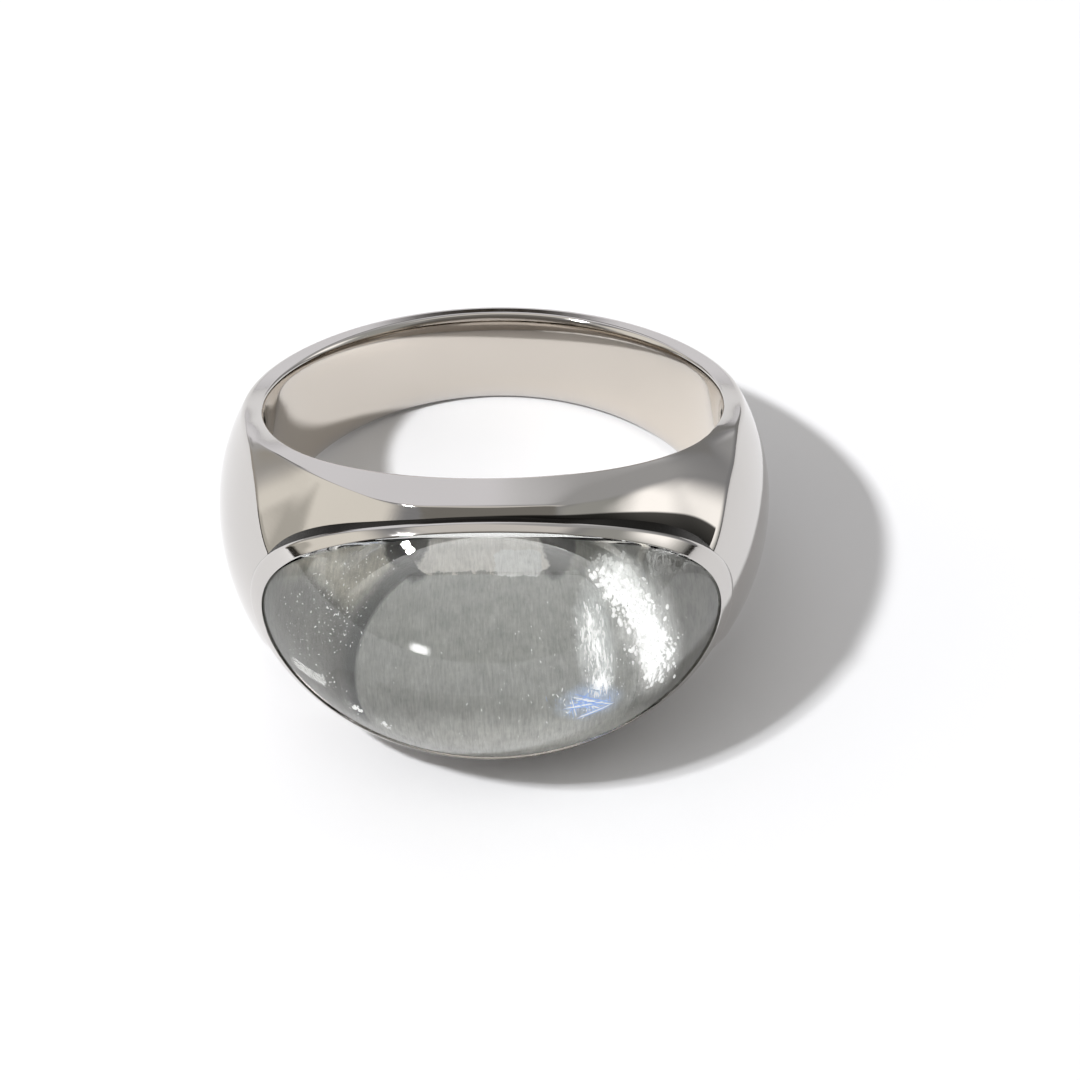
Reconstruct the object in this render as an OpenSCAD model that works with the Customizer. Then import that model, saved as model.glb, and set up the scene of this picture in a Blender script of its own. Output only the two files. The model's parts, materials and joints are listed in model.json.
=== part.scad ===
// A polished silver-tone ring with a long clear cabochon set flush across its head.
// Each shape is made about the finger axis, Z, with the head toward -Y, and is then laid
// on its side as the ring rests by itself: on the lower edges of the head and of the palm.

/* [Finger hole] */
// Inside diameter, a US size 7
finger_d = 17.3; // [16.9:0.1:17.9]

/* [Outer form] */
// Metal beside the finger, at the mid-plane
side_wall = 1.8; // [1.7:0.05:2.2]
// Metal under the finger, on the palm side, at the mid-plane
palm_wall = 1.0; // [0.9:0.05:1.5]
// From the finger hole to the top of the stone
head_h = 5.1; // [4.8:0.1:5.6]
// How far the widest place lies toward the head
belly = 1.03; // [0.8:0.05:1.3]
// Width along the finger of the egg that the outside and the dome are cut from
egg_w = 16.5; // [15.8:0.1:17.5]

/* [Widths along the finger] */
// Width of the shank on the palm side
palm_w = 3.8; // [3:0.1:4.4]
// Width of the shank beside the finger
side_w = 6.75; // [6.2:0.05:7.2]
// Width of the head at the edge of the finger hole
head_w = 11.9; // [11.6:0.1:12.4]
// Rounding of the polished edges
edge = 0.22; // [0.15:0.01:0.28]

/* [Stone] */
// Length of the stone, across the finger
stone_l = 17.1; // [16.6:0.1:17.2]
// Width of the stone, along the finger
stone_w = 10.1; // [9.6:0.1:10.2]
// Metal between the finger hole and the flat base of the stone
seat_floor = 0.85; // [0.7:0.05:1.1]
// Length of the flat part of the base
flat_l = 10.6; // [9.5:0.1:11.5]
// How much lower than the flat part the base is at the two ends of the stone
end_drop = 2.0; // [1.6:0.1:2.2]
// Clearance between the stone and its seat
gap = 0.05; // [0.04:0.01:0.08]

/* [Lip] */
// Thickness of the lip that holds the stone, along its sides
lip_t = 0.25; // [0.2:0.01:0.32]
// Thickness of the lip at the two ends of the stone
lip_end_t = 0.46; // [0.3:0.01:0.55]
// How far the lip stands above the dome
lip_rise = 0.07; // [0.05:0.01:0.12]

/* [Hidden] */

finger_r = finger_d / 2;
egg_x = finger_r + side_wall;
egg_front = finger_r + head_h - belly;
egg_back = finger_r + palm_wall + belly;
egg_z = egg_w / 2;
base_y = -(finger_r + seat_floor);

// Steps around the finger and over the crown
steps = 96;
crown_steps = 6;
// The blank reaches this far into the finger hole before the hole is bored
core = 0.6;
// Height in the head at which the post begins, inside the finger hole
post_foot = finger_r / 2;
// Longer than any cut
far = 30;

// The side face is a rim that falls gently from the finger hole and, round the head, a steep face
// beyond it. Each table gives an angle from the head and there a fall in degrees or the rim's width.
ANGLE = 0;
VALUE = 1;
rim_falls = [[0, 12.5], [60, 12.5], [72, 12], [83, 5], [93, 0], [180, 0]];
rim_widths = [
    [0, 1.46], [8, 1.48], [16, 1.54], [24, 1.42], [31, 1.19], [38, 0.97], [47, 0.74],
    [58, 0.6], [68, 0.64], [76, 0.74], [90, 1.6], [180, 1.6]
];
face_falls = [
    [0, 52], [10, 54], [17, 57], [24, 56], [31, 54], [38, 53], [47, 52], [58, 45],
    [67, 38], [76, 22], [90, 10], [180, 10]
];

// The slope of the curve through a table's points at row i
function table_slope(table, i) =
    i == 0 || i == len(table) - 1 ? 0 :
    table[i][VALUE] == table[i + 1][VALUE] ? 0 :
    (table[i + 1][VALUE] - table[i - 1][VALUE]) / (table[i + 1][ANGLE] - table[i - 1][ANGLE]);

// A smooth curve through a table's points
function read_at(table, angle) =
    let (
        i = max([for (k = [0 : len(table) - 2]) if (table[k][ANGLE] <= angle) k]),
        run = table[i + 1][ANGLE] - table[i][ANGLE],
        t = (angle - table[i][ANGLE]) / run
    )
    table[i][VALUE] * (2 * t ^ 3 - 3 * t ^ 2 + 1)
    + table_slope(table, i) * run * (t ^ 3 - 2 * t ^ 2 + t)
    + table[i + 1][VALUE] * (3 * t ^ 2 - 2 * t ^ 3)
    + table_slope(table, i + 1) * run * (t ^ 3 - t ^ 2);

// Half width of the ring at the edge of the finger hole: one curve through the three widths
function half_width(angle) =
    let (
        t = (1 + cos(angle)) / 2,
        to_side = side_w - palm_w,
        to_head = head_w - palm_w
    )
    (palm_w + (4 * to_side - to_head) * t + (2 * to_head - 4 * to_side) * t ^ 2) / 2;

// Distance from the finger axis to one half of the egg, at an angle and a height
function half_egg_radius(angle, z, depth) =
    let (
        a = (sin(angle) / egg_x) ^ 2 + (cos(angle) / depth) ^ 2,
        b = -2 * cos(angle) * belly / depth ^ 2,
        c = (belly / depth) ^ 2 - 1 + (z / egg_z) ^ 2
    )
    (-b + sqrt(b ^ 2 - 4 * a * c)) / (2 * a);

function egg_radius(angle, z) =
    let (front = half_egg_radius(angle, z, egg_front))
    front * cos(angle) > belly ? front : half_egg_radius(angle, z, egg_back);

// Height of the side face at a distance from the finger axis
function side_height(angle, radius) =
    let (
        out = radius - finger_r,
        width = read_at(rim_widths, angle),
        rim_slope = tan(read_at(rim_falls, angle)),
        face_slope = tan(read_at(face_falls, angle))
    )
    half_width(angle) - rim_slope * out - (out > width ? (face_slope - rim_slope) * (out - width) : 0);

// Height at which the side face meets the egg, found by halving
function shoulder_height(angle, low, high, tries = 24) =
    let (mid = (low + high) / 2)
    tries == 0 ? mid :
    side_height(angle, egg_radius(angle, mid)) > mid
        ? shoulder_height(angle, mid, high, tries - 1)
        : shoulder_height(angle, low, mid, tries - 1);

// A corner rounded off from one point to another
function rounded(from, corner, to, shares) =
    [for (t = shares) (1 - t) ^ 2 * from + 2 * t * (1 - t) * corner + t ^ 2 * to];

// Upper half of the section at an angle, as [distance from the finger axis, height]
function upper_section(angle) =
    let (
        w = half_width(angle),
        z = shoulder_height(angle, 0, w),
        r = egg_radius(angle, z),
        hole_foot = [finger_r - edge / 2, w - 2 * edge],
        hole_edge = [finger_r, w],
        hole_top = [finger_r + edge, side_height(angle, finger_r + edge)],
        crease = min(finger_r + read_at(rim_widths, angle), r - 2 * edge),
        shoulder_top = [r - edge, side_height(angle, r - edge)],
        shoulder_foot = [egg_radius(angle, z - edge), z - edge]
    )
    concat(
        [[finger_r - core, w - 2 * edge]],
        rounded(hole_foot, hole_edge, hole_top, [0, 0.3, 0.6, 1]),
        [[crease, side_height(angle, crease)]],
        rounded(shoulder_top, [r, z], shoulder_foot, [0, 0.33, 0.67, 1]),
        [for (i = [1 : crown_steps - 1])
            let (h = (z - edge) * (1 - i / crown_steps))
            [egg_radius(angle, h), h]]
    );

// Whole section: the upper half, the mid-plane point of the crown, then the mirrored half
function whole_section(angle) =
    let (upper = upper_section(angle), n = len(upper))
    concat(
        upper,
        [[egg_radius(angle, 0), 0]],
        [for (i = [n - 1 : -1 : 0]) [upper[i].x, -upper[i].y]]
    );

function from_head(step) = let (a = 360 * step / steps) a > 180 ? 360 - a : a;

sections = [for (s = [0 : steps - 1]) whole_section(from_head(s))];
points_each = len(sections[0]);
blank_points = [
    for (s = [0 : steps - 1])
        let (a = 360 * s / steps)
        for (p = sections[s]) [p.x * sin(a), -p.x * cos(a), p.y]
];
blank_faces = [
    for (s = [0 : steps - 1], i = [0 : points_each - 1])
        let (
            s2 = (s + 1) % steps,
            i2 = (i + 1) % points_each,
            a = s * points_each + i,
            b = s * points_each + i2,
            c = s2 * points_each + i2,
            d = s2 * points_each + i
        )
        for (face = [[a, c, b], [a, d, c]]) face
];

// The ring lies on two places: the lower hole edge of the head and the lower outer edge of the palm
palm_edge_y = egg_radius(180, palm_w / 2) - edge / 2;
rest_tilt = atan((head_w - palm_w) / 2 / (finger_r + edge / 2 + palm_edge_y));
up_y = -sin(rest_tilt);
up_z = cos(rest_tilt);
lowest = min([for (p = blank_points) p.y * up_y + p.z * up_z]);
front_reach = belly * cos(rest_tilt) + norm([egg_front * cos(rest_tilt), egg_z * sin(rest_tilt)]);
back_reach = max([for (p = blank_points) p.y * cos(rest_tilt) + p.z * sin(rest_tilt)]);

// Lays a shape that is made about the finger axis on its side, on the surface it rests on
module laid() {
    translate([0, (front_reach - back_reach) / 2, -lowest])
        rotate([-rest_tilt, 0, 0])
        children();
}

// The head's half of the egg, grown by a little
module dome(grow) {
    intersection() {
        translate([0, -belly, 0])
            scale([egg_x + grow, egg_front + grow, egg_z + grow])
            sphere(r = 1, $fn = 128);
        translate([-far / 2, -far - belly, -far / 2])
            cube(far);
    }
}

// An oval post along Y, under the whole head
module oval(length, width) {
    scale([length / width, 1, 1])
        rotate([90, 0, 0])
        cylinder(d = width, h = far, $fn = 128);
}

// Everything above the stone's base, or a little lower: flat in the middle, falling to the ends
module above_base(lower) {
    y = base_y + lower;
    end_x = stone_l / 2 + 1;
    end_y = y + end_drop * (end_x - flat_l / 2) / (stone_l / 2 - flat_l / 2);
    translate([0, 0, -far / 2])
        linear_extrude(far)
        polygon([
            [-flat_l / 2, y], [flat_l / 2, y], [end_x, end_y],
            [end_x, -far], [-end_x, -far], [-end_x, end_y]
        ]);
}

// The cast metal before the finger hole is bored: the blank, with the oval post that carries
// the stone, less the seat in it. It is brought to exactly its full width.
module casting() {
    resize([2 * egg_x, 0, 0])
        difference() {
            union() {
                polyhedron(blank_points, blank_faces, convexity = 6);
                intersection() {
                    dome(lip_rise);
                    oval(stone_l + 2 * (gap + lip_end_t), stone_w + 2 * (gap + lip_t));
                    translate([-far / 2, -far - post_foot, -far / 2])
                        cube(far);
                }
            }
            intersection() {
                oval(stone_l + 2 * gap, stone_w + 2 * gap);
                above_base(gap);
            }
        }
}

module band() {
    color("silver")
        laid()
        difference() {
            casting();
            cylinder(d = finger_d, h = far, center = true, $fn = 128);
        }
}

module stone() {
    color("lightblue")
        laid()
        intersection() {
            dome(0);
            oval(stone_l, stone_w);
            above_base(0);
        }
}

band();
stone();
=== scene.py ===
import json
import math
import random

import bmesh
import bpy
from mathutils import Matrix, Vector


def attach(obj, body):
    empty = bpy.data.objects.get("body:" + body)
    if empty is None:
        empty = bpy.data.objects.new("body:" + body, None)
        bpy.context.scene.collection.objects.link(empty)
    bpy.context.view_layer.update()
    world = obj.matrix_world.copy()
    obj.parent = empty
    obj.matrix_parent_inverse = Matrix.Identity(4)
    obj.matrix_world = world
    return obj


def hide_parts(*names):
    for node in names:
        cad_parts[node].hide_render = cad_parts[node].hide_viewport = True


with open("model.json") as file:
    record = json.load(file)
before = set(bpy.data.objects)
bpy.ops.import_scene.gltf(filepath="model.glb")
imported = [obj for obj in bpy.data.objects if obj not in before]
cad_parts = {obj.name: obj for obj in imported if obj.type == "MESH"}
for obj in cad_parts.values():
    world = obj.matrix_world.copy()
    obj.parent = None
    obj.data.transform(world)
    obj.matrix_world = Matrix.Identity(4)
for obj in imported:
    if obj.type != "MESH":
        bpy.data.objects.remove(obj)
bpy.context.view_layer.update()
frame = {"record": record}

# How the ring lies. It is shaped about the finger's axis, in millimetres, with its head toward -Y,
# and it rests on its side, on the lower edges of the head and of the palm side. The bore in the
# record says where that axis is and how it leans.
bore = next(m for m in frame["record"]["mounts"] if m["name"] == "finger_hole")
finger_r = bore["dims"]["r_mm"]
finger_axis = Vector(bore["axis"])
lean = math.atan2(finger_axis.y, finger_axis.z)
laid = Matrix.Translation(bore["pos_m"]) @ Matrix.Rotation(-lean, 4, "X") @ Matrix.Scale(0.001, 4)

# The camera stands above the head and a little to its right, far off with a long lens, so that the
# ring shows with little perspective. Its angles are in the ring's own frame, its sizes in millimetres.
view_up = math.radians(34.04)
view_side = math.radians(1.29)
view_roll = math.radians(-1.18)
view_distance = 400
picture_width = 41.15
aim_right, aim_up = 1.73, -2.24

facing = (
    Matrix.Rotation(view_side, 3, "Z")
    @ Matrix.Rotation(math.radians(90) - view_up, 3, "X")
    @ Matrix.Rotation(view_roll, 3, "Z")
)
camera_data = bpy.data.cameras.new("camera")
camera_data.sensor_width = 36
camera_data.lens = camera_data.sensor_width * view_distance / picture_width
camera_data.clip_start = 0.01
camera_data.clip_end = 10
camera = bpy.data.objects.new("camera", camera_data)
camera.location = laid @ (facing @ Vector((aim_right, aim_up, view_distance)))
camera.rotation_euler = (laid.to_3x3().normalized() @ facing).to_euler()
bpy.context.scene.collection.objects.link(camera)
bpy.context.scene.camera = camera

# The band is one casting of sterling silver, plated with rhodium and polished like a mirror: a shank
# whose outside is egg-shaped, cut off at each side by a face that falls away from the finger hole,
# with a crisp edge between the two. First its blank, spun about the finger and then drawn to size.
side_wall, palm_wall, head_h, belly = 1.8, 1.0, 5.1, 1.03
egg_x = finger_r + side_wall
egg_front = finger_r + head_h - belly
egg_back = finger_r + palm_wall + belly
egg_z = 8.25
palm_w, side_w, head_w = 3.8, 6.75, 11.9
shoulder_edge = 0.13
steps = 360
# Rows across half of a section: in the bore, round the hole's edge, on the rim, on the steep face,
# round the shoulder and over the crown. Others stand close about the crease between rim and steep
# face, at these distances from it, in a zone of their own. The crease keeps its room at the shoulder.
bore_rows, hole_rows, rim_rows, face_rows, edge_rows, crown_rows = 4, 12, 5, 8, 5, 12
near_crease = [-0.12, -0.07, -0.045, -0.03, -0.015, 0, 0.015, 0.03, 0.045, 0.07, 0.12]
crease_zone, crease_room = 0.16, 0.2
# Beside each rounding one more row holds the face there flat.
hold = 0.04
# The side face is a rim that falls gently from the hole and, round the head, a steep face beyond it.
# Each table gives an angle from the head and there a fall in degrees or the rim's width.
rim_falls = [(0, 12.5), (30, 12.5), (60, 12.5), (72, 12), (83, 5), (93, 0), (180, 0)]
rim_widths = [(0, 1.46), (8, 1.48), (16, 1.54), (24, 1.42), (31, 1.19), (38, 0.97), (47, 0.74),
              (58, 0.6), (68, 0.64), (76, 0.74), (90, 1.6), (180, 1.6)]
face_falls = [(0, 52), (10, 54), (17, 57), (24, 56), (31, 54), (38, 53), (47, 52), (58, 45),
              (67, 38), (76, 22), (90, 10), (180, 10)]
# The edge of the finger hole is crisp at the top of the head and rolled over for comfort elsewhere:
# how far it goes out from the hole, and how far down into it, on the upper and on the lower side.
top_edges = [(0, 0.06), (60, 0.08), (110, 0.2), (180, 0.3)]
top_eases = [(0, 0.4), (60, 0.5), (110, 1.3), (180, 1.3)]
foot_edges, foot_eases = [(0, 0.2), (180, 0.2)], [(0, 1.3), (180, 1.3)]
# The steep face is a little fuller in its middle than a flat one. Its crease is crisp, but on the
# right it was polished away to a soft bend between two angles, and sets in over a run of degrees.
# The softer it is, the wider its rows spread.
fullness = 0.07
crisp_crease, soft_crease, soft_from, soft_to, soft_run = 0.012, 0.2, 12, 78, 15
spread_rate, least_spread = 14, 0.5


def table_slope(table, i):
    """The slope of the curve through a table's points, at one of them."""
    if i in (0, len(table) - 1) or table[i][1] == table[i + 1][1]:
        return 0
    return (table[i + 1][1] - table[i - 1][1]) / (table[i + 1][0] - table[i - 1][0])


def read_at(table, angle):
    """A value at an angle, on a smooth curve through a table's points."""
    i = max(k for k in range(len(table) - 1) if table[k][0] <= angle)
    run = table[i + 1][0] - table[i][0]
    t = (angle - table[i][0]) / run
    return (
        table[i][1] * (2 * t**3 - 3 * t**2 + 1)
        + table_slope(table, i) * run * (t**3 - 2 * t**2 + t)
        + table[i + 1][1] * (3 * t**2 - 2 * t**3)
        + table_slope(table, i + 1) * run * (t**3 - t**2)
    )


def half_width(angle):
    """Half of the ring's width at the edge of the finger hole."""
    t = (1 + math.cos(math.radians(angle))) / 2
    to_side, to_head = side_w - palm_w, head_w - palm_w
    return (palm_w + (4 * to_side - to_head) * t + (2 * to_head - 4 * to_side) * t**2) / 2


def half_egg_radius(angle, z, depth):
    """Distance from the axis to one half of the egg, of this depth. The angle is in radians."""
    a = (math.sin(angle) / egg_x) ** 2 + (math.cos(angle) / depth) ** 2
    b = -2 * math.cos(angle) * belly / depth**2
    c = (belly / depth) ** 2 - 1 + (z / egg_z) ** 2
    return (-b + math.sqrt(b**2 - 4 * a * c)) / (2 * a)


def egg_radius(angle, z):
    """Distance from the finger's axis to the egg, at an angle from the head and a height."""
    angle = math.radians(angle)
    front = half_egg_radius(angle, z, egg_front)
    return front if front * math.cos(angle) > belly else half_egg_radius(angle, z, egg_back)


def eased(t):
    """Goes smoothly from 0 to 1 as t does, and no further."""
    t = min(max(t, 0), 1)
    return t * t * (3 - 2 * t)


def crease_softness(angle, on_right):
    """How far the bend between rim and steep face reaches to either side of it."""
    if not on_right:
        return crisp_crease
    share = eased((angle - soft_from) / soft_run) * eased((soft_to - angle) / soft_run)
    return crisp_crease + (soft_crease - crisp_crease) * share


def side_height(angle, radius, soft, span=0):
    """Height of the side face, whose steep part is as wide as the span."""
    out, width = radius - finger_r, read_at(rim_widths, angle)
    rim_slope, face_slope = (math.tan(math.radians(read_at(t, angle))) for t in (rim_falls, face_falls))
    rim = half_width(angle) - rim_slope * out
    past = out - width
    face = rim - (face_slope - rim_slope) * past - (fullness * past * (past - span) if span else 0)
    return (rim + face - math.sqrt((rim - face) ** 2 + 4 * soft**2)) / 2


def shoulder_height(angle, soft, span=0):
    """Height at which the side face meets the egg, found by halving."""
    low, high = 0, half_width(angle)
    for _ in range(30):
        middle = (low + high) / 2
        if side_height(angle, egg_radius(angle, middle), soft, span) > middle:
            low = middle
        else:
            high = middle
    return low


def rounded(start, corner, end, rows):
    """Points of a corner that is rounded off, both ends among them."""
    shares = [i / rows for i in range(rows + 1)]
    return [
        tuple((1 - t) ** 2 * a + 2 * t * (1 - t) * b + t**2 * c for a, b, c in zip(start, corner, end))
        for t in shares
    ]


def half_section(angle, on_right, edges, eases):
    """Half of the blank's section at an angle, from the hole's wall to the crown, as (distance from
    the axis, height)."""
    w = half_width(angle)
    hole_edge, hole_ease = read_at(edges, angle), read_at(eases, angle)
    soft = crease_softness(angle, on_right)
    width = read_at(rim_widths, angle)
    span = max(egg_radius(angle, shoulder_height(angle, soft)) - finger_r - width, 0)
    z = shoulder_height(angle, soft, span)
    r = egg_radius(angle, z)
    foot = w - hole_ease
    start, end = finger_r + hole_edge, r - shoulder_edge
    crease = min(finger_r + width, end - crease_room)
    room = min(crease - start - hold, end - hold - crease) / crease_room
    spread = max(min(1 + spread_rate * (soft - crisp_crease), room), least_spread)
    rim_end, face_start = crease - crease_zone * spread, crease + crease_zone * spread
    side = (
        [start + hold + (rim_end - start - hold) * i / rim_rows for i in range(rim_rows)]
        + [crease + step * spread for step in near_crease]
        + [face_start + (end - hold - face_start) * i / (face_rows - 1) for i in range(face_rows)]
    )
    rim_start = (start, side_height(angle, start, soft, span))
    shoulder_start = (end, side_height(angle, end, soft, span))
    shoulder_end = (egg_radius(angle, z - shoulder_edge), z - shoulder_edge)
    crown = [(z - shoulder_edge - hold) * (1 - i / crown_rows) for i in range(crown_rows)]
    return (
        [(finger_r, foot * i / bore_rows) for i in range(1, bore_rows)]
        + [(finger_r, foot - hold)]
        + rounded((finger_r, foot), (finger_r, w), rim_start, hole_rows)
        + [(q, side_height(angle, q, soft, span)) for q in side]
        + rounded(shoulder_start, (r, z), shoulder_end, edge_rows)
        + [(egg_radius(angle, h), h) for h in crown]
    )


def blank_section(angle, on_right):
    """The whole section: the bore's middle, the upper half, the crown's middle, the lower half."""
    upper = half_section(angle, on_right, top_edges, top_eases)
    lower = half_section(angle, False, foot_edges, foot_eases)
    crown_middle = (egg_radius(angle, 0), 0)
    return [(finger_r, 0)] + upper + [crown_middle] + [(q, -h) for q, h in reversed(lower)]


# The section at the head is spun about the finger, and each vertex then goes to its place in the
# section of its own angle.
sections = [
    [blank_section(360 * s / steps, on_right) for s in range(steps // 2 + 1)]
    for on_right in (False, True)
]
blank = bmesh.new()
place = blank.verts.layers.int.new("place")
loop = [blank.verts.new((0, -q, h)) for q, h in sections[0][0]]
for i, vertex in enumerate(loop):
    vertex[place] = i
    blank.edges.new((loop[i - 1], vertex))
bmesh.ops.spin(
    blank, geom=blank.verts[:] + blank.edges[:], cent=(0, 0, 0), axis=(0, 0, 1), dvec=(0, 0, 0),
    angle=math.radians(360), steps=steps, use_merge=True,
)
for vertex in blank.verts:
    turn = math.atan2(vertex.co.x, -vertex.co.y)
    s = round(math.degrees(abs(turn)) * steps / 360)
    q, h = sections[turn > 0][s][vertex[place]]
    vertex.co = (q * math.sin(turn), -q * math.cos(turn), h)
bmesh.ops.recalc_face_normals(blank, faces=blank.faces)
# On the head, the steep face between its crease and the crown has a material of its own, with painted
# shade in its corner along the lip. Its rows on the lower half mirror those on the upper.
head_from_y = -3
past_crease = len(near_crease) // 2
crease_row = 1 + bore_rows + hole_rows + 1 + rim_rows + past_crease
steep_rows = set(range(crease_row, crease_row + 1 + past_crease + face_rows))
steep_rows |= {len(sections[0][0]) - row for row in steep_rows}
for face in blank.faces:
    rows = {v[place] for v in face.verts}
    face.material_index = int(rows <= steep_rows and face.calc_center_median().y < head_from_y)


# The seat is sunk into the head for the stone, with walls that follow the stone's oval and a floor
# that is level in the middle and falls toward both ends. It was milled and left satin. Round its
# mouth stands the lip, a thin strip that is rubbed down over the stone's edge and polished.
stone_l, stone_w = 17.1, 10.1
seat_floor, flat_l, end_drop, bend_ease = 0.85, 10.6, 2.0, 0.25
gap, lip_t, lip_end_t, lip_rise = 0.05, 0.25, 0.46, 0.07
oval_steps = 288


def dome_y(x, z, rise=0):
    """The y of the stone's dome, which goes on from the egg."""
    across = 1 - (x / (egg_x + rise)) ** 2 - (z / (egg_z + rise)) ** 2
    return -belly - (egg_front + rise) * math.sqrt(max(across, 0))


def base_y(x):
    """The y of the stone's base, with its two bends eased."""
    past = abs(x) - flat_l / 2
    slope = end_drop / (stone_l / 2 - flat_l / 2)
    return -(finger_r + seat_floor) + slope * (past + math.sqrt(past**2 + bend_ease**2)) / 2


def spun_oval(rows, closed=False):
    """Rows spun about the head's axis, to be drawn to size. Each vertex is marked with its row, and
    the first and last rows of an open profile are drawn together to a point."""
    made = bmesh.new()
    row = made.verts.layers.int.new("row")
    line = [made.verts.new((0, 0, i + 1)) for i in range(rows)]
    for i, vertex in enumerate(line):
        vertex[row] = i
        if i or closed:
            made.edges.new((line[i - 1], vertex))
    bmesh.ops.spin(
        made, geom=made.verts[:] + made.edges[:], cent=(0, 0, 0), axis=(0, 1, 0), dvec=(0, 0, 0),
        angle=math.radians(360), steps=oval_steps, use_merge=True,
    )
    for end in () if closed else (0, rows - 1):
        end_verts = [v for v in made.verts if v[row] == end]
        bmesh.ops.pointmerge(made, verts=end_verts, merge_co=(0, 0, end + 1))
    return made, row


# The lip's section all the way round: share of its thickness, how far outward from there, and how
# far below its top, or None where the row is at the foot, sunk in the metal. It is thickest at the
# two ends of the stone.
lip_edge, lip_ease, lip_rows, lip_foot = 0.06, 0.096, 5, 0.3
lip_section = (
    [(0, dx, dy) for dx, dy in rounded((0, lip_ease), (0, 0), (lip_edge, 0), lip_rows)]
    + [(1, dx, dy) for dx, dy in rounded((-lip_edge, 0), (0, 0), (0, lip_ease), lip_rows)]
    + [(1, 0, lip_ease + hold), (1, 0, None), (0, 0, None), (0, 0, lip_ease + hold)]
)
lip, lip_row = spun_oval(len(lip_section), closed=True)
for vertex in lip.verts:
    turn = math.atan2(vertex.co.x, vertex.co.z)
    share, dx, sink = lip_section[vertex[lip_row]]
    thick = lip_t + (lip_end_t - lip_t) * abs(math.sin(turn)) ** 3
    x = (stone_l / 2 + gap + share * thick + dx) * math.sin(turn)
    z = (stone_w / 2 + gap + share * thick + dx) * math.cos(turn)
    vertex.co = (x, base_y(x) + lip_foot if sink is None else dome_y(x, z, lip_rise) + sink, z)
bmesh.ops.recalc_face_normals(lip, faces=lip.faces)
# The lip's outer wall has a material of its own, with painted shade.
outer_wall = {len(lip_section) - 4, len(lip_section) - 3}
for face in lip.faces:
    face.material_index = int({v[lip_row] for v in face.verts} == outer_wall)

# The burr left a round platform in the middle of the seat, cut straight on its upper side, and went
# a little deeper round it. The seat is sunk out to the middle of the lip, which then lines its wall.
platform_x, platform_z, platform_r, platform_cut = 0.2, -1.6, 4.5, 1.9
most_to_wall, burr_step, step_share = 0.9, 0.03, 0.012
platform_rows, floor_rows = 14, 12
above_head_y = -20
seat_l, seat_w = stone_l / 2 + gap + lip_t / 2, stone_w / 2 + gap + lip_t / 2


def seat_reach(turn):
    """From the platform's centre, how far the seat's wall is in a direction."""
    s, c = math.sin(turn) / seat_l, math.cos(turn) / seat_w
    a = s**2 + c**2
    b = platform_x / seat_l * s + platform_z / seat_w * c
    centre = (platform_x / seat_l) ** 2 + (platform_z / seat_w) ** 2
    return (-b + math.sqrt(b**2 - a * (centre - 1))) / a


def platform_reach(turn):
    """From its centre, how far the platform goes: to its round edge, its cut or near the wall."""
    to_cut = (platform_cut - platform_z) / max(math.cos(turn), 0.01)
    return min(platform_r, to_cut, most_to_wall * seat_reach(turn))


# The seat's rows, from the platform's centre outward: share of the platform's reach, share of the
# rest of the way to the wall, and share of the burr's step, or None where the cut leaves the metal.
seat_rows = (
    [(i / platform_rows, 0, 0) for i in range(platform_rows + 1)]
    + [(1, 0, 0.02), (1, step_share / 3, 1), (1, step_share, 1)]
    + [(1, step_share + (1 - step_share) * i / floor_rows, 1) for i in range(1, floor_rows + 1)]
    + [(1, 1, None), (0, 0, None)]
)
seat, seat_row = spun_oval(len(seat_rows))
for vertex in seat.verts:
    turn = math.atan2(vertex.co.x, vertex.co.z)
    inner, outer, deep = seat_rows[vertex[seat_row]]
    reach = platform_reach(turn) * inner
    reach += (seat_reach(turn) - reach) * outer
    x, z = platform_x + reach * math.sin(turn), platform_z + reach * math.cos(turn)
    vertex.co = (x, above_head_y if deep is None else base_y(x) + gap + burr_step * deep, z)
bmesh.ops.recalc_face_normals(seat, faces=seat.faces)


def combined(first, second, operation):
    """One mesh from two closed ones, cut or joined, in which each face keeps its material."""
    objects = []
    for name, mesh in (("first", first), ("second", second)):
        made = bpy.data.objects.new(name, mesh)
        bpy.context.scene.collection.objects.link(made)
        objects.append(made)
    cut = objects[0].modifiers.new("cut", "BOOLEAN")
    cut.operation = operation
    cut.object = objects[1]
    cut.solver = "MANIFOLD"
    cut.material_mode = "TRANSFER"
    graph = bpy.context.evaluated_depsgraph_get()
    result = bpy.data.meshes.new_from_object(objects[0].evaluated_get(graph))
    for made in objects:
        bpy.data.objects.remove(made)
    return result


def linear(hex_code):
    """An sRGB hex colour as linear red, green, blue and alpha."""
    parts = [int(hex_code[i : i + 2], 16) / 255 for i in (1, 3, 5)]
    return (*[p / 12.92 if p <= 0.04045 else ((p + 0.055) / 1.055) ** 2.4 for p in parts], 1)


def add_node(tree, kind, inputs=(), **settings):
    """Adds a node, with its settings, and with its inputs set to values or linked to outputs."""
    made = tree.nodes.new(kind)
    for name, value in settings.items():
        setattr(made, name, value)
    for name, value in dict(inputs).items():
        if isinstance(value, bpy.types.NodeSocket):
            tree.links.new(value, made.inputs[name])
        else:
            made.inputs[name].default_value = value
    return made


def new_material(name):
    """A material with an empty node tree."""
    material = bpy.data.materials.new(name)
    material.use_nodes = True
    material.node_tree.nodes.clear()
    return material, material.node_tree


# Rhodium-plated silver, mirror polished: bright and neutral, with a faint waviness from the wheel and
# hairline buffing marks round the finger, drawn a ninth as wide as long and coarser than the real
# ones, which are too fine to show. The hole isn't plated, and the silver's warmer colour shows there.
per_mm = 1000
waves_per_mm, marks_per_mm, mark_slenderness = 0.25, 2, 9
wave_height, mark_height = 0.004, 0.0004


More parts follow.
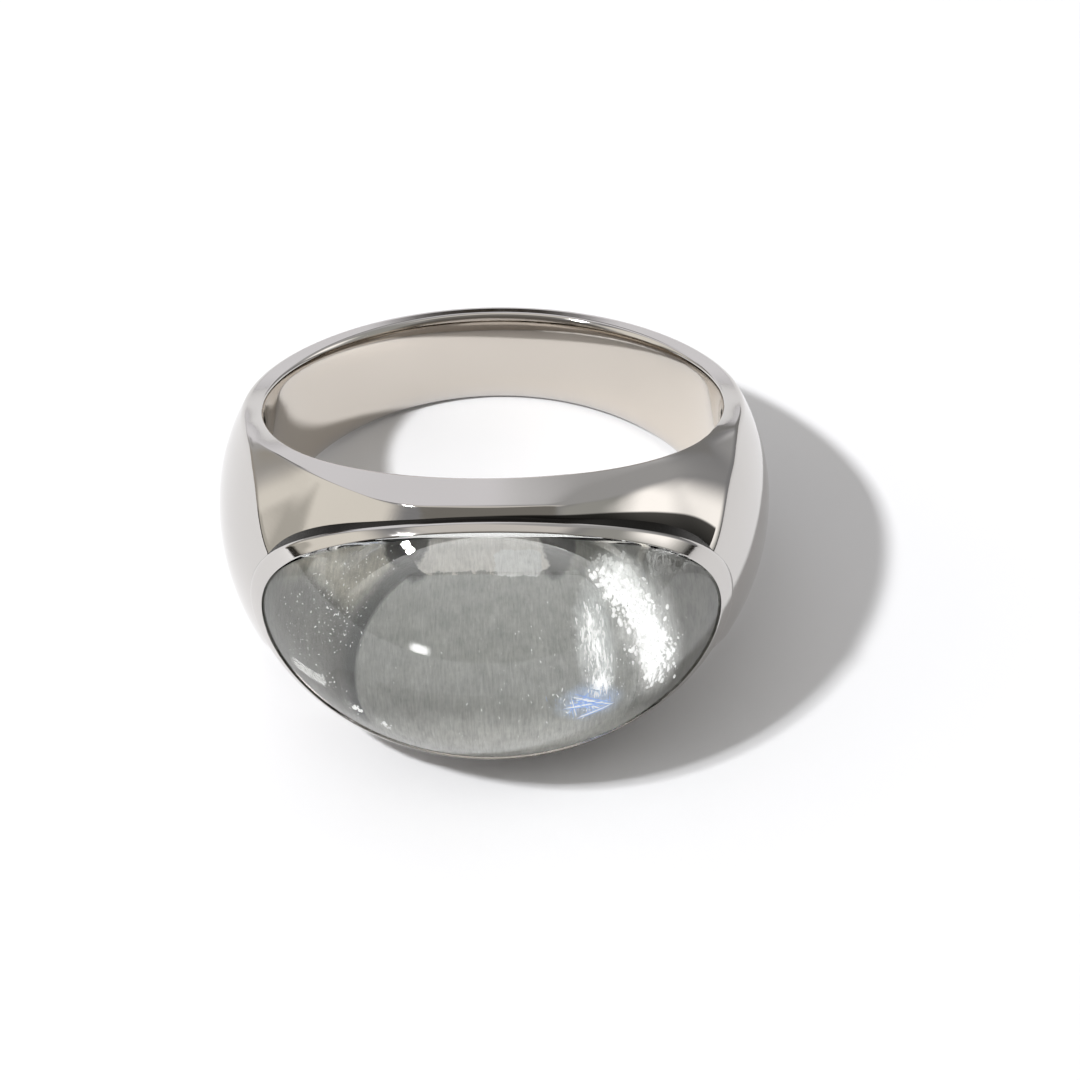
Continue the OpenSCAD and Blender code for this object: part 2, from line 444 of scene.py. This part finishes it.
def seen_from_ring(tree):
    """Coordinates in the ring's own frame, in millimetres."""
    place_on = add_node(tree, "ShaderNodeTexCoord").outputs["Object"]
    return add_node(
        tree, "ShaderNodeMapping",
        {
            "Vector": place_on,
            "Location": bore["pos_m"],
            "Rotation": (-lean, 0, 0),
            "Scale": (1 / per_mm, 1 / per_mm, 1 / per_mm),
        },
        vector_type="TEXTURE",
    ).outputs["Vector"]


def polished_silver(name):
    """The polished finish, with its tree, coordinates, tint, gloss and shader for any change to it."""
    material, tree = new_material(name)
    in_ring = seen_from_ring(tree)
    wave = add_node(
        tree, "ShaderNodeTexNoise",
        {"Vector": in_ring, "Scale": waves_per_mm, "Detail": 1, "Roughness": 0.4},
    )
    streak_map = add_node(
        tree, "ShaderNodeMapping", {"Vector": in_ring, "Scale": (1, 1, mark_slenderness)}
    )
    marks = add_node(
        tree, "ShaderNodeTexNoise",
        {"Vector": streak_map.outputs["Vector"], "Scale": marks_per_mm, "Detail": 4, "Roughness": 0.6},
    )
    relief = add_node(
        tree, "ShaderNodeBump",
        {"Height": wave.outputs["Fac"], "Strength": 1, "Distance": wave_height / per_mm},
    )
    fine_relief = add_node(
        tree, "ShaderNodeBump",
        {
            "Height": marks.outputs["Fac"],
            "Strength": 1,
            "Distance": mark_height / per_mm,
            "Normal": relief.outputs["Normal"],
        },
    )
    # Bare silver, then plated silver, each from a darker tone to a lighter one.
    tints = [
        add_node(
            tree, "ShaderNodeMix",
            {"Factor": wave.outputs["Fac"], "A": linear(darker), "B": linear(lighter)},
            data_type="RGBA",
        ).outputs["Result"]
        for darker, lighter in (("#CFC8BF", "#D7D0C7"), ("#C8C5C2", "#CFCCC9"))
    ]
    flat = add_node(tree, "ShaderNodeVectorMath", {0: in_ring, 1: (1, 1, 0)}, operation="MULTIPLY")
    from_axis = add_node(tree, "ShaderNodeVectorMath", {0: flat.outputs["Vector"]}, operation="LENGTH")
    plated = add_node(
        tree, "ShaderNodeMapRange",
        {
            "Value": from_axis.outputs["Value"],
            "From Min": finger_r + 0.01,
            "From Max": finger_r + 0.12,
            "To Min": 0,
            "To Max": 1,
        },
    )
    tint = add_node(
        tree, "ShaderNodeMix",
        {"Factor": plated.outputs["Result"], "A": tints[0], "B": tints[1]},
        data_type="RGBA",
    )
    gloss = add_node(
        tree, "ShaderNodeMapRange",
        {
            "Value": marks.outputs["Fac"],
            "From Min": 0.3,
            "From Max": 0.75,
            "To Min": 0.035,
            "To Max": 0.09,
        },
    )
    shader = add_node(
        tree, "ShaderNodeBsdfPrincipled",
        {
            "Base Color": tint.outputs["Result"],
            "Metallic": 1,
            "Roughness": gloss.outputs["Result"],
            "Normal": fine_relief.outputs["Normal"],
        },
    )
    add_node(tree, "ShaderNodeOutputMaterial", {"Surface": shader.outputs["BSDF"]})
    return material, tree, in_ring, tint.outputs["Result"], gloss.outputs["Result"], shader


silver = polished_silver("rhodium_plated_silver_polished")[0]

# On the steep face the same silver has painted shade in the corner along the lip, nearly black, most of
# all toward the right end, inside an oval that stands a little beside the stone's.
corner_x, corner_l, corner_w = 0.35, 9.27, 5.37
steep_silver, tree, in_ring, tint, gloss, shader = polished_silver(
    "rhodium_plated_silver_blackened_corner"
)
to_oval = add_node(
    tree, "ShaderNodeMapping",
    {
        "Vector": in_ring,
        "Location": (-corner_x / corner_l, 0, 0),
        "Scale": (1 / corner_l, 0, 1 / corner_w),
    },
)
reach = add_node(tree, "ShaderNodeVectorMath", {0: to_oval.outputs["Vector"]}, operation="LENGTH")
# Painted shade: inside the oval the tint goes nearly black, darkest nearest the lip, and the roughness
# goes to 0.2.
corner_shade_mask = add_node(
    tree, "ShaderNodeMapRange",
    {"Value": reach.outputs["Value"], "From Min": 0.995, "From Max": 1.004, "To Min": 1, "To Max": 0},
    interpolation_type="SMOOTHSTEP",
)
depth = add_node(
    tree, "ShaderNodeMapRange",
    {"Value": reach.outputs["Value"], "From Min": 0.93, "From Max": 1, "To Min": 0, "To Max": 1},
)
corner_shade = add_node(
    tree, "ShaderNodeMix",
    {"Factor": depth.outputs["Result"], "A": linear("#0E0D0C"), "B": linear("#3A3937")},
    data_type="RGBA",
)
tint = add_node(
    tree, "ShaderNodeMix",
    {"Factor": corner_shade_mask.outputs["Result"], "A": tint, "B": corner_shade.outputs["Result"]},
    data_type="RGBA",
)
gloss = add_node(
    tree, "ShaderNodeMix", {0: corner_shade_mask.outputs["Result"], 2: gloss, 3: 0.2}, data_type="FLOAT"
)
tree.links.new(tint.outputs["Result"], shader.inputs["Base Color"])
tree.links.new(gloss.outputs[0], shader.inputs["Roughness"])

# The lip's own outer wall stands in that corner and has painted shade as well: nearly black and a
# little uneven, with some gloss.
cloud_size = 0.9
corner_wall_shade, tree = new_material("silver_oxide_in_the_corner")
place_on = add_node(tree, "ShaderNodeTexCoord").outputs["Object"]
cloud = add_node(
    tree, "ShaderNodeTexNoise",
    {"Vector": place_on, "Scale": per_mm / cloud_size, "Detail": 4, "Roughness": 0.6},
)
tint = add_node(
    tree, "ShaderNodeMix",
    {"Factor": cloud.outputs["Fac"], "A": linear("#14120F"), "B": linear("#2E2B27")},
    data_type="RGBA",
)
shader = add_node(
    tree, "ShaderNodeBsdfPrincipled",
    {"Base Color": tint.outputs["Result"], "Metallic": 1, "Roughness": 0.22},
)
add_node(tree, "ShaderNodeOutputMaterial", {"Surface": shader.outputs["BSDF"]})

# The same silver in the seat, as the burr left it and as it shows through the stone: satin, with fine
# parallel tool marks across the stone's length, drawn coarser than the real ones. Its colour is painted
# in fields with the light and shade seen through the stone: painted shade round the platform's left
# side, at the left end and beside the lighter field above the platform, a painted pool of light on the
# right with a bluish fringe, a painted glint, and lighter along the lower side and at the upper left.
tool_marks_per_mm, tool_mark_stretch, tool_mark_height = 1.6, (9, 1, 1.3), 0.01
grains_per_mm = 1.7
satin, tree = new_material("sterling_silver_milled_satin")
in_ring = seen_from_ring(tree)
streak_map = add_node(tree, "ShaderNodeMapping", {"Vector": in_ring, "Scale": tool_mark_stretch})
marks = add_node(
    tree, "ShaderNodeTexNoise",
    {"Vector": streak_map.outputs["Vector"], "Scale": tool_marks_per_mm, "Detail": 4, "Roughness": 0.7},
)
grain = add_node(
    tree, "ShaderNodeTexNoise",
    {"Vector": in_ring, "Scale": grains_per_mm, "Detail": 6, "Roughness": 0.75},
)
# Fields with an edge softer than this have a ragged one: the grain shifts their outline by up to a
# few tenths of a millimetre.
ragged_from, ragged_by = 0.1, 0.6
ragged = add_node(
    tree, "ShaderNodeVectorMath", {0: grain.outputs["Color"], 1: (0.5, 0.5, 0.5)}, operation="SUBTRACT"
)
strayed = add_node(
    tree, "ShaderNodeVectorMath",
    {0: ragged.outputs["Vector"], 1: (ragged_by, ragged_by, ragged_by), 2: in_ring},
    operation="MULTIPLY_ADD",
).outputs["Vector"]
# Each field of painted light and shade: its middle along the stone and along the finger, its half
# length and half width, in millimetres, the squareness of its outline, the softness of its edge and its
# colour.
painted_light_and_shade = [
    (0.0, 4.4, 4.4, 2.46, 4, 0.1, "#96958F"),
    (-5.2, 2.7, 3.0, 1.9, 2, 0.6, "#E6E2D8"),
    # Painted shade at the left end.
    (-6.2, -0.8, 1.7, 2.6, 2, 0.5, "#7C7B77"),
    (6.6, 0.4, 1.5, 3.0, 2, 0.6, "#9A9996"),
    # Painted shade round the platform's left side.
    (-0.28, -1.3, 4.5, 4.7, 2, 0.14, "#535452"),
    (0.2, -1.6, 4.5, 4.5, 2, 0.03, "#BDBEBB"),
    (0.2, -4.8, 5.8, 2.0, 2, 0.7, "#FFFFFC"),
    (0.0, 3.4, 3.4, 1.48, 5, 0.12, "#96958F"),
    # Painted shade beside the lighter field above the platform.
    (-2.45, 2.5, 0.55, 0.8, 2, 0.5, "#454441"),
    (2.15, 2.7, 0.5, 0.95, 2, 0.5, "#4A4946"),
    (-0.2, 3.35, 2.25, 1.42, 9, 0.12, "#F3EFEB"),
    (-2.8, 3.4, 0.8, 1.35, 2, 0.22, "#5A5956"),
    (2.35, 3.4, 0.62, 1.35, 2, 0.22, "#5A5956"),
    # A painted glint.
    (0.95, 2.3, 0.75, 0.45, 6, 0.2, "#FFFFFF"),
    # A painted pool of light on the right, where the dome gathers the window's light, with a bluish
    # fringe at its foot.
    (4.4, 1.7, 1.05, 0.95, 2, 0.9, "#FFFFFF"),
    (5.15, 0.2, 1.0, 1.5, 2, 0.9, "#FFFFFF"),
    (5.5, -1.2, 0.85, 1.4, 2, 0.9, "#FFFFFF"),
    (3.3, -0.4, 0.6, 1.8, 2, 0.9, "#F4F6F7"),
    (3.0, -2.3, 1.0, 0.5, 2, 0.9, "#DCE6F5"),
]
colour = linear("#A3A3A0")
for x, z, half_x, half_z, square, soft, shade in painted_light_and_shade:
    near = add_node(
        tree, "ShaderNodeMapping",
        {
            "Vector": strayed if soft > ragged_from else in_ring,
            "Location": (-x / half_x, 0, -z / half_z),
            "Scale": (1 / half_x, 0, 1 / half_z),
        },
    )
    squared = add_node(
        tree, "ShaderNodeVectorMath",
        {0: near.outputs["Vector"], 1: near.outputs["Vector"]},
        operation="MULTIPLY",
    )
    parts = add_node(tree, "ShaderNodeSeparateXYZ", {"Vector": squared.outputs["Vector"]})
    powers = [
        add_node(tree, "ShaderNodeMath", {0: parts.outputs[axis], 1: square / 2}, operation="POWER")
        for axis in ("X", "Z")
    ]
    from_middle = add_node(
        tree, "ShaderNodeMath",
        {0: powers[0].outputs["Value"], 1: powers[1].outputs["Value"]},
        operation="ADD",
    )
    mask = add_node(
        tree, "ShaderNodeMapRange",
        {
            "Value": from_middle.outputs["Value"],
            "From Min": 1 - soft,
            "From Max": 1 + soft,
            "To Min": 1,
            "To Max": 0,
        },
        interpolation_type="SMOOTHSTEP",
    )
    colour = add_node(
        tree, "ShaderNodeMix",
        {"Factor": mask.outputs["Result"], "A": colour, "B": linear(shade)},
        data_type="RGBA",
    ).outputs["Result"]
both_marks = add_node(
    tree, "ShaderNodeMath", {0: marks.outputs["Fac"], 1: grain.outputs["Fac"]}, operation="ADD"
)
depth = add_node(
    tree, "ShaderNodeMapRange",
    {
        "Value": both_marks.outputs["Value"],
        "From Min": 0.7,
        "From Max": 1.3,
        "To Min": 0.7,
        "To Max": 1.3,
    },
)
marked = add_node(
    tree, "ShaderNodeVectorMath", {0: colour, "Scale": depth.outputs["Result"]}, operation="SCALE"
)
relief = add_node(
    tree, "ShaderNodeBump",
    {"Height": marks.outputs["Fac"], "Strength": 0.5, "Distance": tool_mark_height / per_mm},
)
shader = add_node(
    tree, "ShaderNodeBsdfPrincipled",
    {
        "Base Color": marked.outputs["Vector"],
        "Metallic": 0.3,
        "Roughness": 0.5,
        "Normal": relief.outputs["Normal"],
    },
)
add_node(tree, "ShaderNodeOutputMaterial", {"Surface": shader.outputs["BSDF"]})


def as_mesh(name, shape, material):
    """A bmesh shape as a mesh of one material with smooth faces."""
    mesh = bpy.data.meshes.new(name)
    shape.to_mesh(mesh)
    shape.free()
    mesh.materials.append(material)
    mesh.polygons.foreach_set("use_smooth", [True] * len(mesh.polygons))
    return mesh


def placed(name, mesh, sharp_from):
    """A piece from a mesh in the ring's own frame, laid on its side and in metres, with crisp edges
    where its faces turn by more than so many degrees."""
    mesh.transform(laid)
    mesh.name = name
    mesh.set_sharp_from_angle(angle=math.radians(sharp_from))
    made = bpy.data.objects.new(name, mesh)
    bpy.context.scene.collection.objects.link(made)
    return made


blank_mesh = as_mesh("blank", blank, silver)
blank_mesh.materials.append(steep_silver)
cast = combined(blank_mesh, as_mesh("seat", seat, satin), "DIFFERENCE")
lip_mesh = as_mesh("lip", lip, silver)
lip_mesh.materials.append(corner_wall_shade)
cast = combined(cast, lip_mesh, "UNION")
band = placed("ring_band", cast, sharp_from=28)
# Where the lip's outer wall is soldered on, its foot is a crisp corner all the way round.
soldered = bmesh.new()
soldered.from_mesh(band.data)
wall_slot = band.data.materials.find(corner_wall_shade.name)
for edge in soldered.edges:
    if [face.material_index == wall_slot for face in edge.link_faces].count(True) == 1:
        edge.smooth = False
soldered.to_mesh(band.data)
soldered.free()
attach(band, "root")
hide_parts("band")

# The stone is a cabochon of clear rock crystal, ground and polished all over: a smooth dome that goes
# on from the metal's own curve, an upright wall, and a base that is flat in the middle and falls
# toward the two ends, with the edges between them eased.
dome_rows, wall_rows, base_rows = 56, 4, 32
girdle_edge = 0.05
dome_end, dome_hold, base_hold, base_end = 0.985, 0.995, 0.99, 0.98
# Each row of its profile: the surface that it is on, its share of the stone's length and width, and
# how far it lies inside the dome or the base, or its share of the way down the wall.
stone_profile = (
    [("dome", i / dome_rows * dome_end, 0) for i in range(dome_rows + 1)]
    + [("dome", dome_hold, 0), ("dome", 1, girdle_edge)]
    + [("wall", 1, i / wall_rows) for i in range(1, wall_rows)]
    + [("base", 1, girdle_edge), ("base", base_hold, 0)]
    + [("base", base_end * (1 - i / base_rows), 0) for i in range(base_rows + 1)]
)
crystal, crystal_row = spun_oval(len(stone_profile))
for vertex in crystal.verts:
    surface, share, inset = stone_profile[vertex[crystal_row]]
    turn = math.atan2(vertex.co.x, vertex.co.z) if share else 0
    x = share * stone_l / 2 * math.sin(turn)
    z = share * stone_w / 2 * math.cos(turn)
    dome, base = dome_y(x, z), base_y(x)
    wall_top, wall_foot = dome + girdle_edge, base - girdle_edge
    y = {
        "dome": dome + inset,
        "wall": wall_top + (wall_foot - wall_top) * inset,
        "base": base - inset,
    }
    vertex.co = (x, y[surface], z)
bmesh.ops.recalc_face_normals(crystal, faces=crystal.faces)

# Rock crystal, polished: as clear as water and without colour, so that the seat shows through it,
# drawn large by the dome.
quartz, tree = new_material("rock_crystal_polished")
shader = add_node(
    tree, "ShaderNodeBsdfPrincipled",
    {
        "Base Color": linear("#F8F9F7"),
        "Roughness": 0.0,
        "IOR": 1.544,
        "Transmission Weight": 1,
    },
)
add_node(tree, "ShaderNodeOutputMaterial", {"Surface": shader.outputs["BSDF"]})
stone = placed("rock_crystal_cabochon", as_mesh("crystal", crystal, quartz), sharp_from=40)
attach(stone, "root")
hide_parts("stone")

# Inside the stone, just above its base, lies a crowd of thin films that glow with painted light, though
# they are no lamp. A white veil on the right and a fainter one beside it paint the pool of light that
# the dome gathers there, lone specks on the left paint glints, and a few blue films paint the pool's
# coloured fringe.
white_mottle, blue_mottle = 0.3, 0.4
glowing_white_film, tree = new_material("healed_fracture_white_film")
place_on = add_node(tree, "ShaderNodeTexCoord").outputs["Object"]
mottle = add_node(
    tree, "ShaderNodeTexNoise", {"Vector": place_on, "Scale": per_mm / white_mottle, "Detail": 3}
)
tint = add_node(
    tree, "ShaderNodeMix",
    {"Factor": mottle.outputs["Fac"], "A": linear("#E8EAEA"), "B": linear("#FFFFFF")},
    data_type="RGBA",
)
# Painted light: the white films glow.
shader = add_node(
    tree, "ShaderNodeBsdfPrincipled",
    {
        "Base Color": tint.outputs["Result"],
        "Roughness": 0.4,
        "Emission Color": linear("#FFFFFF"),
        "Emission Strength": 0.55,
    },
)
add_node(tree, "ShaderNodeOutputMaterial", {"Surface": shader.outputs["BSDF"]})

blue_film, tree = new_material("healed_fracture_blue_film")
place_on = add_node(tree, "ShaderNodeTexCoord").outputs["Object"]
mottle = add_node(
    tree, "ShaderNodeTexNoise", {"Vector": place_on, "Scale": per_mm / blue_mottle, "Detail": 3}
)
tint = add_node(
    tree, "ShaderNodeMix",
    {"Factor": mottle.outputs["Fac"], "A": linear("#4E7FD0"), "B": linear("#BFD6F5")},
    data_type="RGBA",
)
# Painted light: the blue films glow.
shader = add_node(
    tree, "ShaderNodeBsdfPrincipled",
    {
        "Base Color": tint.outputs["Result"],
        "Roughness": 0.3,
        "Emission Color": linear("#9DBEF2"),
        "Emission Strength": 0.35,
    },
)
add_node(tree, "ShaderNodeOutputMaterial", {"Surface": shader.outputs["BSDF"]})

# Each crowd: the line along the stone that it follows, as points in millimetres, how wide it strays,
# how many films, their least and greatest length, how slender they are, how far they turn away from
# the finger's axis, in degrees, and their material, 0 for white and 1 for blue.
veil_line = [(4.0, 2.15), (4.85, 1.25), (5.25, 0.28), (5.6, -0.7), (5.68, -1.75)]
side_line = [(3.35, 0.9), (3.25, -0.1), (3.5, -1.0), (3.3, -1.8)]
blue_line = [(1.7, -1.95), (2.9, -2.35), (3.9, -1.95)]
crowds = [
    (veil_line, 0.32, 1200, 0.05, 0.28, 0.6, 50, 0),
    (veil_line, 0.5, 600, 0.015, 0.07, 0.5, 60, 0),
    (side_line, 0.2, 300, 0.05, 0.36, 0.14, 14, 0),
    (side_line, 0.4, 200, 0.015, 0.08, 0.4, 40, 0),
    (blue_line, 0.26, 22, 0.1, 0.5, 0.05, 30, 1),
    (blue_line, 0.3, 50, 0.03, 0.16, 0.2, 80, 0),
    ([(-6.1, 1.3), (-5.3, 0.8), (-5.0, 0.0)], 0.55, 130, 0.03, 0.14, 0.25, 90, 0),
    ([(-7.3, 0.9), (-6.7, -1.4)], 0.35, 40, 0.03, 0.1, 0.25, 90, 0),
    ([(-6.6, -0.4), (-5.4, -2.0), (-4.6, -3.0)], 0.15, 36, 0.03, 0.12, 0.4, 90, 0),
    ([(-4.6, -2.7), (-4.5, -2.72)], 0.07, 14, 0.08, 0.22, 0.5, 90, 0),
    ([(-3.55, -3.15), (-3.45, -3.15)], 0.07, 12, 0.08, 0.2, 0.5, 90, 0),
    ([(-5.6, 2.5), (-3.2, 2.9)], 0.4, 60, 0.025, 0.09, 0.4, 90, 0),
    ([(-3.0, -3.2), (0.0, -1.8), (2.2, -0.2)], 1.3, 110, 0.02, 0.11, 0.2, 40, 0),
]
# Long fine streaks of painted light between two points, in millimetres. Each is a white film between
# two blue ones.
glowing_streaks = [
    ((2.46, -1.89), (3.98, -2.39)), ((3.98, -2.39), (2.63, -2.69)), ((2.46, -1.89), (2.63, -2.69)),
    ((2.6, -2.0), (3.6, -2.6)), ((2.95, -1.95), (3.15, -2.6)), ((2.2, -2.25), (3.9, -2.2)),
    ((2.3, -2.5), (3.1, -1.8)),
]
streak_slender, streak_shift = 0.03, 0.05
# The films lie between these heights above the stone's base, tip by a few degrees and narrow a
# little toward the dome. They keep clear of the stone's ends and sides.
film_t, film_low, film_high, film_tip, film_taper = 0.008, 0.32, 0.5, 8, 1.3
clear_of_ends, clear_of_sides = 0.9, 0.7
# A bmesh slows down as it fills, so the films are made in batches.
batch = 100
chance = random.Random(7)
glowing_film_shapes = bmesh.new()


def add_film(crowd, x, z, length, slender, turned, kind):
    """One thin six-sided film, nearly level with the stone's base and a little above it."""
    place = (
        Matrix.Translation((x, base_y(x) - chance.uniform(film_low, film_high), z))
        @ Matrix.Rotation(turned, 4, "Y")
        @ Matrix.Rotation(math.radians(90 + chance.gauss(0, film_tip)), 4, "X")
        @ Matrix.Diagonal((slender, 1, 1, 1))
    )
    made = bmesh.ops.create_cone(
        crowd, cap_ends=True, cap_tris=True, segments=6, radius1=length / 2,
        radius2=length / 2 / film_taper, depth=film_t, matrix=place,
    )
    for face in {f for v in made["verts"] for f in v.link_faces}:
        face.material_index = kind


def add_crowd(crowd):
    """Adds a finished batch of films to the rest."""
    finished = bpy.data.meshes.new("crowd")
    crowd.to_mesh(finished)
    crowd.free()
    glowing_film_shapes.from_mesh(finished)
    bpy.data.meshes.remove(finished)


for line, stray, count, least, most, slender, turned, kind in crowds:
    for done in range(0, count, batch):
        crowd = bmesh.new()
        for _ in range(min(count - done, batch)):
            along = chance.random() * (len(line) - 1)
            i = int(along)
            (x0, z0), (x1, z1) = line[i], line[i + 1]
            x = x0 + (x1 - x0) * (along - i) + chance.gauss(0, stray)
            z = z0 + (z1 - z0) * (along - i) + chance.gauss(0, stray)
            length = least + (most - least) * chance.random() ** 2
            away = math.radians(chance.gauss(0, turned / 2))
            if math.hypot(x / (stone_l / 2 - clear_of_ends), z / (stone_w / 2 - clear_of_sides)) < 1:
                add_film(crowd, x, z, length, slender, away, kind)
        add_crowd(crowd)
crowd = bmesh.new()
for (x0, z0), (x1, z1) in glowing_streaks:
    across, along = x1 - x0, z1 - z0
    for shift, kind in ((0, 0), (streak_shift, 1), (-streak_shift, 1)):
        add_film(
            crowd, (x0 + x1) / 2 + shift, (z0 + z1) / 2 + shift, math.hypot(across, along),
            streak_slender, math.atan2(across, along), kind,
        )
add_crowd(crowd)
films = as_mesh("films", glowing_film_shapes, glowing_white_film)
films.materials.append(blue_film)
glowing_films_piece = placed("healed_fracture_films", films, sharp_from=40)
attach(glowing_films_piece, "root")

# The floor is a plain sheet of matt white card, under the ring and no part of it. Its size and the
# places of the lights are in metres.
floor_size = 1.6
sheet = bmesh.new()
bmesh.ops.create_grid(sheet, x_segments=1, y_segments=1, size=floor_size / 2)
card, tree = new_material("white_card_matt")
shader = add_node(
    tree, "ShaderNodeBsdfPrincipled",
    {"Base Color": linear("#F0F1F4"), "Roughness": 0.8, "Specular IOR Level": 0.2},
)
add_node(tree, "ShaderNodeOutputMaterial", {"Surface": shader.outputs["BSDF"]})
floor = bpy.data.objects.new("floor", as_mesh("floor", sheet, card))
bpy.context.scene.collection.objects.link(floor)

# The key light is a window of two panes, well up on the left. The rest is the room round the table,
# as soft patches of light and shade that the metal mirrors.
key_direction = Vector((-0.558, -0.2254, 0.7986))
key_distance, pane_w, pane_h, pane_gap, pane_watts = 1.0, 0.04, 0.06, 0.016, 4.1
key_side = key_direction.cross(Vector((0, 0, 1))).normalized()
for side in (-1, 1):
    pane = bpy.data.lights.new("window_pane", "AREA")
    pane.shape = "RECTANGLE"
    pane.size, pane.size_y = pane_w, pane_h
    pane.energy = pane_watts
    lamp = bpy.data.objects.new("window_pane", pane)
    lamp.location = key_direction * key_distance + key_side * side * (pane_w + pane_gap) / 2
    lamp.rotation_euler = key_direction.to_track_quat("Z", "Y").to_euler()
    bpy.context.scene.collection.objects.link(lamp)

world = bpy.data.worlds.new("studio")
world.use_nodes = True
tree = world.node_tree
tree.nodes.clear()
toward = add_node(tree, "ShaderNodeTexCoord").outputs["Generated"]
height = add_node(tree, "ShaderNodeSeparateXYZ", {"Vector": toward}).outputs["Z"]
lift = add_node(
    tree, "ShaderNodeMapRange",
    {"Value": height, "From Min": 0.8, "From Max": 0.9, "To Min": 0, "To Max": 1},
    interpolation_type="SMOOTHSTEP",
)
colour = add_node(
    tree, "ShaderNodeMix",
    {"Factor": lift.outputs["Result"], "A": linear("#9E9EA0"), "B": linear("#FBF7F1")},
    data_type="RGBA",
).outputs["Result"]
# Each patch: bearing from the back of the table, to the right, and height above it, half width and
# half height, softness of its edge, all in degrees, then its strength and its colour.
patches = [
    (180, 62, 28, 13, 6, 1, "#918E88"),
    (180, 24, 55, 24, 8, 1, "#77726C"),
    (-14, 26, 26, 28, 12, 1.24, "#F2F1F5"),
    (16, 32, 10, 18, 8, 1.15, "#EEEEF0"),
    (24, 3, 16, 6, 5, 1, "#999897"),
    (-44, 4, 14, 8, 8, 1, "#CCCBCA"),
    (41, 44, 20, 30, 16, 1, "#C4C4C4"),
    (-85, 20, 28, 24, 16, 1.2, "#FFFAF0"),
    (-66, 1, 26, 6, 8, 1, "#BFBAB1"),
    (-78, 8.5, 8, 4, 4, 1, "#DDD9CF"),
    (100, 28, 26, 26, 14, 1, "#BDBDB8"),
    (78, 22, 14, 11, 15, 1.95, "#FFFCF8"),
    (90, 0, 18, 3, 4, 1, "#3A3835"),
    (-92, 0.5, 26, 3.2, 2, 1, "#3A3733"),
    (0, 22, 14, 4, 4, 1, "#3E3932"),
    (-31, 11, 5, 5, 4, 1, "#4A453C"),
    (-147, 3, 3.8, 3, 5, 24, "#FFFFFF"),
]
for bearing, rise, half_w, half_h, soft, strength, shade in patches:
    b, e = math.radians(bearing), math.radians(rise)
    ahead = Vector((math.sin(b) * math.cos(e), math.cos(b) * math.cos(e), math.sin(e)))
    across = ahead.cross(Vector((0, 0, 1))).normalized()
    upward = across.cross(ahead)
    along = add_node(tree, "ShaderNodeVectorMath", {0: toward, 1: ahead}, operation="DOT_PRODUCT")
    masks = []
    for direction, half in ((across, half_w), (upward, half_h)):
        offset = add_node(
            tree, "ShaderNodeVectorMath", {0: toward, 1: direction}, operation="DOT_PRODUCT"
        )
        bend = add_node(
            tree, "ShaderNodeMath",
            {0: offset.outputs["Value"], 1: along.outputs["Value"]},
            operation="ARCTAN2",
        )
        size = add_node(tree, "ShaderNodeMath", {0: bend.outputs["Value"]}, operation="ABSOLUTE")
        mask = add_node(
            tree, "ShaderNodeMapRange",
            {
                "Value": size.outputs["Value"],
                "From Min": math.radians(half - soft / 2),
                "From Max": math.radians(half + soft / 2),
                "To Min": 1,
                "To Max": 0,
            },
            interpolation_type="SMOOTHSTEP",
        )
        masks.append(mask.outputs["Result"])
    both = add_node(tree, "ShaderNodeMath", {0: masks[0], 1: masks[1]}, operation="MULTIPLY")
    glow = (*[strength * part for part in linear(shade)[:3]], 1)
    colour = add_node(
        tree, "ShaderNodeMix",
        {"Factor": both.outputs["Value"], "A": colour, "B": glow},
        data_type="RGBA",
    ).outputs["Result"]
room = add_node(tree, "ShaderNodeBackground", {"Color": colour, "Strength": 0.85})
add_node(tree, "ShaderNodeOutputWorld", {"Surface": room.outputs["Background"]})
bpy.context.scene.world = world
bpy.context.scene.view_settings.view_transform = "Standard"
